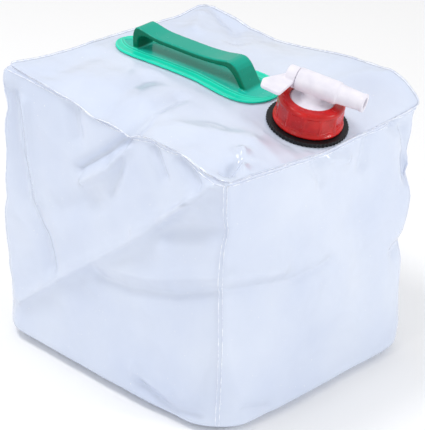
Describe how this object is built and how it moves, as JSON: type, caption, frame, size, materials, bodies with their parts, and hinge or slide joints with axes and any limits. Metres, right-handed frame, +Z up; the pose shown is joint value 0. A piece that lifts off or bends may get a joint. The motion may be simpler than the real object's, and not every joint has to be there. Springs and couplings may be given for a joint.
{
  "type": "collapsible water carrier",
  "caption": "Cube-shaped collapsible water bag of welded clear film with a moulded carry handle, a threaded neck, a ribbed screw ring and a lever tap.",
  "frame": {"origin": "on the floor, under the middle of the bag", "axes": "+Z up; -Y towards the side with the tap; +X to the right when facing the tap side"},
  "size_m": [0.28, 0.3107, 0.3252],
  "materials": {
    "film": "clear, slightly milky film",
    "handle_green": "soft translucent",
    "neck_white": "satin",
    "nut_black": "satin",
    "seal_black": "matt",
    "gasket_grey": "matt",
    "cap_red": "gloss",
    "tap_white": "satin"
  },
  "bodies": {
    "base": {"bottom_panel": "film", "front_panel": "film", "right_panel": "film", "back_panel": "film", "left_panel": "film"},
    "top": {"top_panel": "film", "carry_handle": "handle_green", "neck": "neck_white", "neck_washer": "seal_black", "lock_nut": "nut_black"},
    "tap": {"tap_body": "tap_white", "cap_gasket": "gasket_grey"},
    "cap": {"cap_ring": "cap_red"},
    "lever": {"tap_plug": "tap_white", "plug_oring_lever": "seal_black", "plug_oring_spout": "seal_black"}
  },
  "joints": [
    {"name": "bag_collapse", "type": "slide", "parent": "base", "child": "top", "axis": [0, 0, -1], "range_m": [0, 0.175], "deforming": ["front_panel", "right_panel", "back_panel", "left_panel"]},
    {"name": "cap_rise", "type": "slide", "parent": "top", "child": "tap", "axis": [-0.0681, -0.2159, 0.974], "range_m": [0, 0.0113]},
    {"name": "cap_turn", "type": "hinge", "parent": "tap", "child": "cap", "pos_m": [0.0135, -0.1055, 0.266], "axis": [-0.0681, -0.2159, 0.974], "range_deg": [0, 900]},
    {"name": "tap_lever", "type": "hinge", "parent": "tap", "child": "lever", "pos_m": [0.01043, -0.11522, 0.30983], "axis": [-0.3482, 0.92, 0.1796], "range_deg": [0, 90]}
  ],
  "couplings": [
    {"joint": "cap_rise", "follows": "cap_turn", "m_per_rad": 0.0007162}
  ]
}
